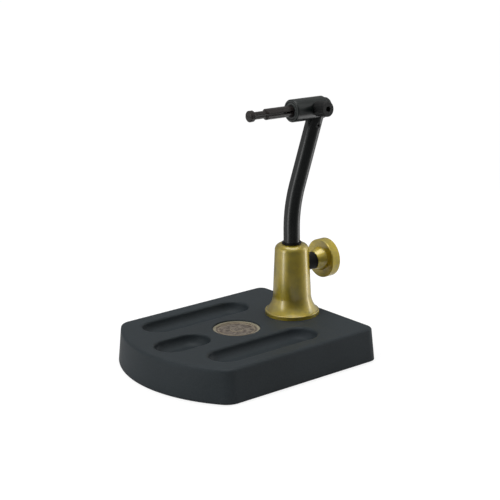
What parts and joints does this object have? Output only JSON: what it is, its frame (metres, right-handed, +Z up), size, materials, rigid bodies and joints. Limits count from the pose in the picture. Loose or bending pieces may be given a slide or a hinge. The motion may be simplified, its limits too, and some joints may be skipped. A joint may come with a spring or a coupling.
{
  "type": "fly tying vise",
  "caption": "Pedestal fly tying vise: heavy base with hook trays, brass bell, black stem that swivels and slides, and a rotary head with pivoting jaws closed by a rear knob.",
  "frame": {"origin": "middle of the base's length and width, on the face it stands on", "axes": "+Z up; -X the way the jaws point, towards the base's curved edge; +X the thumb screw's side; the tension screw is on the -Y side"},
  "size_m": [0.134, 0.105, 0.1457],
  "materials": {
    "black_coat": "fine textured charcoal powder coat on cast iron",
    "pad_rubber": "thin non-slip sheet",
    "bronze": "antique bronze disc",
    "brass": "turned and lacquered brass",
    "knob_brass": "turned and lacquered brass",
    "black_steel": "black oxide screw steel",
    "black_rod": "satin black oxide",
    "head_steel": "satin black oxide",
    "jaw_steel": "hardened and blacked tool steel",
    "plain_steel": "bright machined steel",
    "bush_bronze": "oil-filled bearing bronze",
    "black_nylon": "black nylon",
    "white_nylon": "natural nylon",
    "ring_rubber": "nitrile rubber"
  },
  "bodies": {
    "base": {"base_casting": "black_coat", "base_pad": "pad_rubber", "medallion": "bronze", "bell_pedestal": "brass", "bell_bolt": "black_steel", "bolt_washer": "plain_steel"},
    "stem_sleeve": {"stem_sleeve": "black_nylon"},
    "stem": {"stem": "black_rod", "head_barrel": "head_steel", "front_bushing": "black_steel", "rear_bushing": "bush_bronze", "stem_set_screw": "black_steel", "thrust_washer": "plain_steel"},
    "spindle": {"spindle": "black_steel", "jaw_pivot_pin": "plain_steel", "jaw_return_ring": "ring_rubber"},
    "upper_jaw": {"upper_jaw": "jaw_steel"},
    "lower_jaw": {"lower_jaw": "jaw_steel"},
    "cone_plunger": {"cone_plunger": "plain_steel"},
    "closing_knob": {"closing_knob": "head_steel", "knob_retainer": "plain_steel"},
    "drag_plug": {"drag_plug": "white_nylon"},
    "tension_screw": {"tension_screw": "black_steel"},
    "thumb_collar": {"thumb_collar": "black_nylon"},
    "thumb_screw": {"thumb_knob": "knob_brass", "thumb_screw_rod": "black_steel", "clamp_pad": "brass"}
  },
  "joints": [
    {"name": "stem_swivel", "type": "hinge", "parent": "base", "child": "stem_sleeve", "pos_m": [0.0428, 0, 0.01955], "axis": [0, 0, 1], "continuous": true},
    {"name": "stem_height", "type": "slide", "parent": "stem_sleeve", "child": "stem", "axis": [0, 0, 1], "range_m": [-0.006, 0.015]},
    {"name": "head_rotation", "type": "hinge", "parent": "stem", "child": "spindle", "pos_m": [0.04238, 0, 0.13924], "axis": [0.9997, 0, -0.0262], "continuous": true},
    {"name": "closing_turn", "type": "hinge", "parent": "spindle", "child": "closing_knob", "pos_m": [0.06597, 0, 0.13862], "axis": [0.9997, 0, -0.0262], "range_deg": [0, 360]},
    {"name": "plunger_travel", "type": "slide", "parent": "spindle", "child": "cone_plunger", "axis": [0.9997, 0, -0.0262], "range_m": [0, 0.0008]},
    {"name": "upper_jaw_pivot", "type": "hinge", "parent": "spindle", "child": "upper_jaw", "pos_m": [0.04738, 0, 0.13911], "axis": [0, 1, 0], "range_deg": [0, 1.5]},
    {"name": "lower_jaw_pivot", "type": "hinge", "parent": "spindle", "child": "lower_jaw", "pos_m": [0.04738, 0, 0.13911], "axis": [0, 1, 0], "range_deg": [-1.5, 0]},
    {"name": "tension_travel", "type": "slide", "parent": "stem", "child": "drag_plug", "axis": [0.0027, -0.9945, 0.1045], "range_m": [0, 0.0008]},
    {"name": "tension_turn", "type": "hinge", "parent": "drag_plug", "child": "tension_screw", "pos_m": [0.05788, 0, 0.13883], "axis": [0.0027, -0.9945, 0.1045], "range_deg": [0, 360]},
    {"name": "thumb_travel", "type": "slide", "parent": "base", "child": "thumb_collar", "axis": [1, 0, 0], "range_m": [0, 0.00254]},
    {"name": "thumb_turn", "type": "hinge", "parent": "thumb_collar", "child": "thumb_screw", "pos_m": [0.0428, 0, 0.04835], "axis": [1, 0, 0], "range_deg": [0, 720]}
  ],
  "couplings": [
    {"joint": "closing_turn", "follows": "plunger_travel", "rad_per_m": 7854},
    {"joint": "upper_jaw_pivot", "follows": "plunger_travel", "rad_per_m": 32.725},
    {"joint": "lower_jaw_pivot", "follows": "plunger_travel", "rad_per_m": -32.725},
    {"joint": "tension_turn", "follows": "tension_travel", "rad_per_m": 7854},
    {"joint": "thumb_turn", "follows": "thumb_travel", "rad_per_m": 4947.4}
  ]
}
